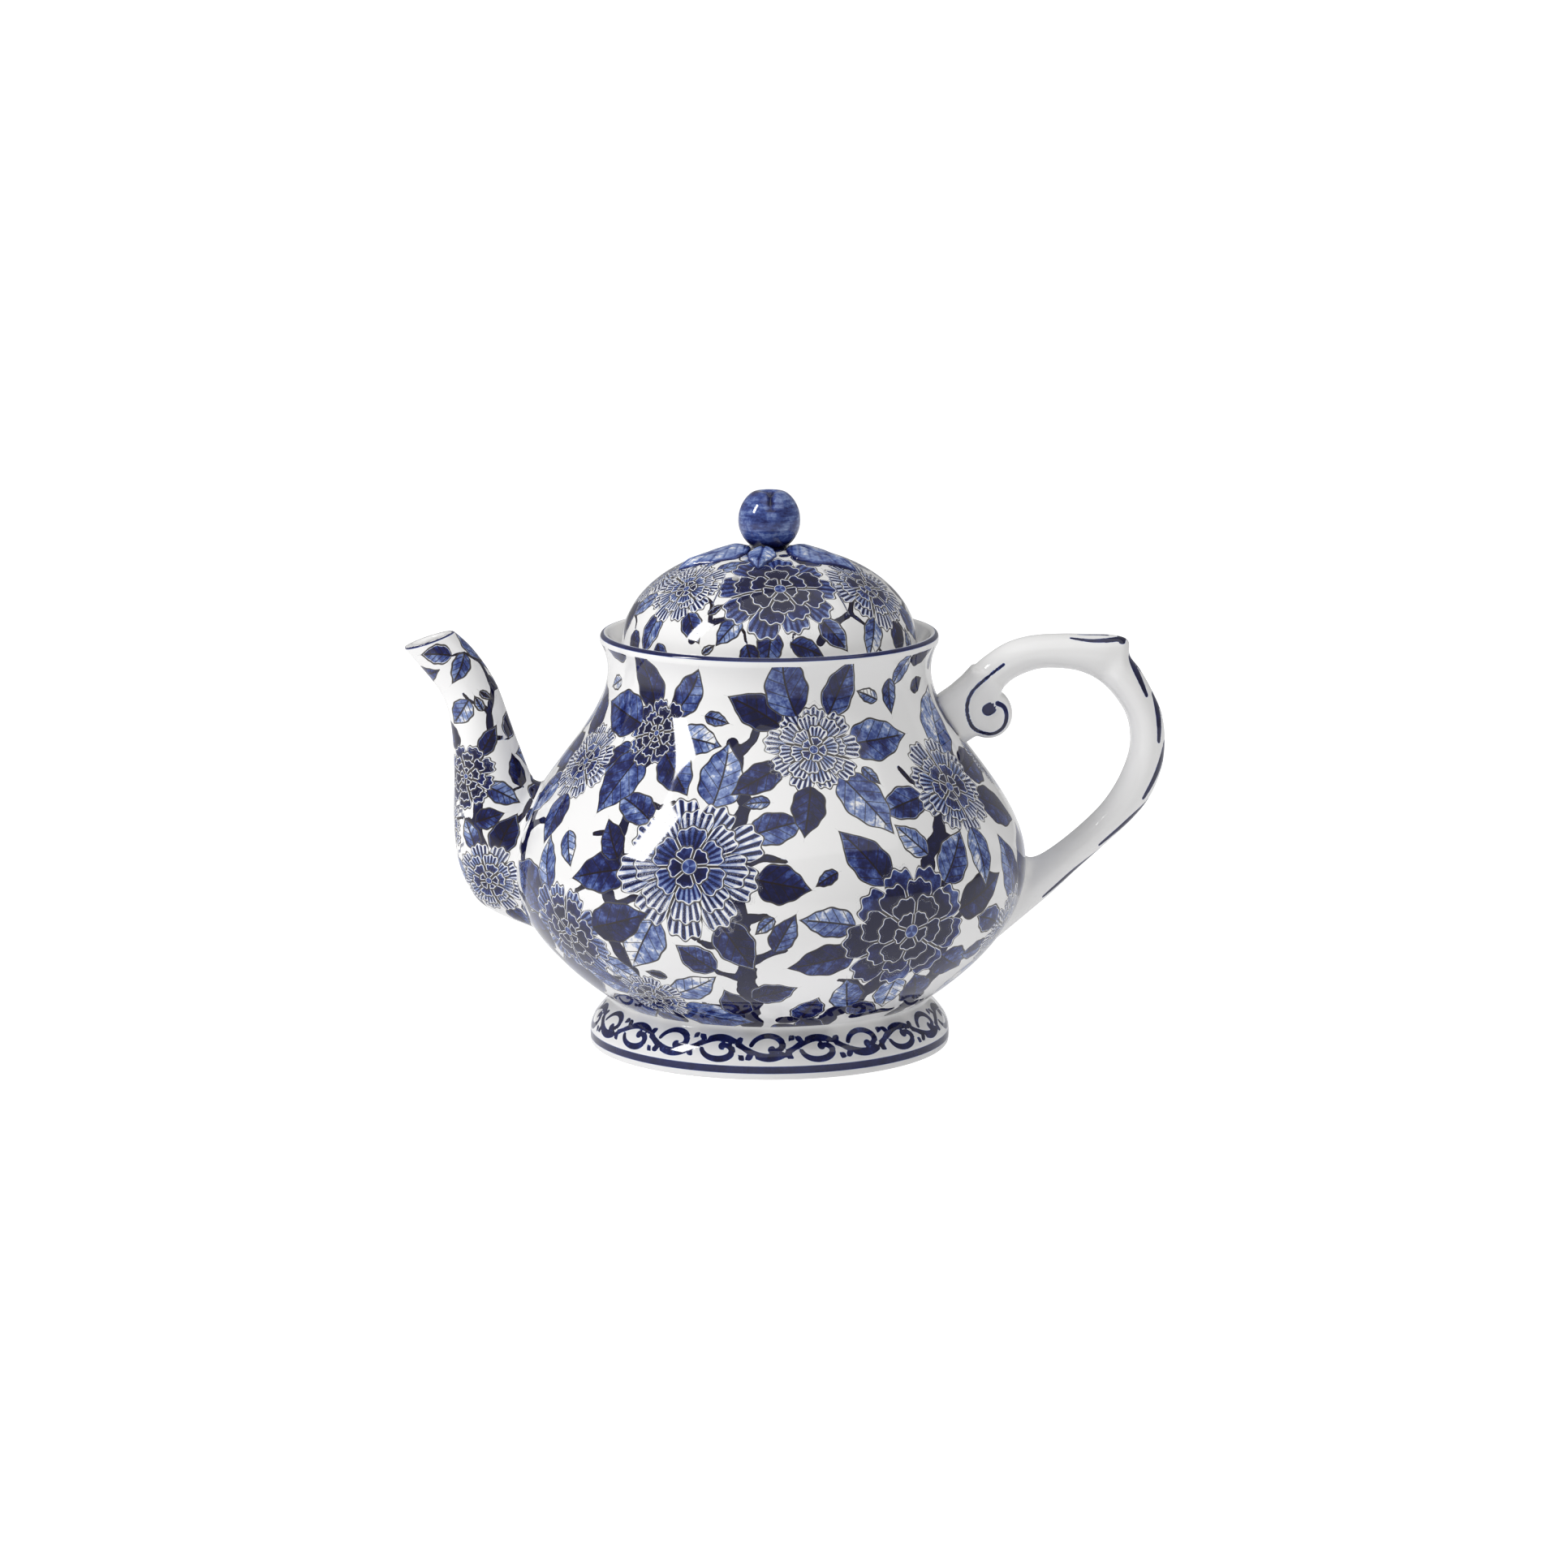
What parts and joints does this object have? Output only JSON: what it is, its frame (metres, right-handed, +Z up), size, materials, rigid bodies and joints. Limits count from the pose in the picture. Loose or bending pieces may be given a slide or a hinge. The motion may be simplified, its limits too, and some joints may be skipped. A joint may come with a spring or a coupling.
{
  "type": "teapot",
  "caption": "Round-bellied glazed teapot on a flared foot, with a swept spout, an ear handle ending in a scroll, and a domed lid with a fruit knob.",
  "frame": {"origin": "where the pot's axis meets the table, at the middle of the ring that the foot stands on", "axes": "+X from the axis towards the handle, so that the spout points along -X; +Z up along the pot's axis; +Y away from the viewer who has the handle on the right"},
  "size_m": [0.2434, 0.1646, 0.1782],
  "materials": {
    "white_glaze": "glossy",
    "painted_glaze": "glossy",
    "blue_glaze": "glossy"
  },
  "bodies": {
    "pot": {"body": "painted_glaze", "strainer": "white_glaze", "foot": "painted_glaze", "spout": "painted_glaze", "handle": "white_glaze", "handle_scroll": "white_glaze"},
    "lid": {"lid": "painted_glaze", "knob": "blue_glaze", "leaf_left": "blue_glaze", "leaf_right": "blue_glaze", "leaf_front": "blue_glaze", "leaf_back": "blue_glaze"}
  },
  "joints": [
    {"name": "lid_lift", "type": "slide", "parent": "pot", "child": "lid", "axis": [0, 0, 1], "range_m": [0, 0.06]}
  ]
}
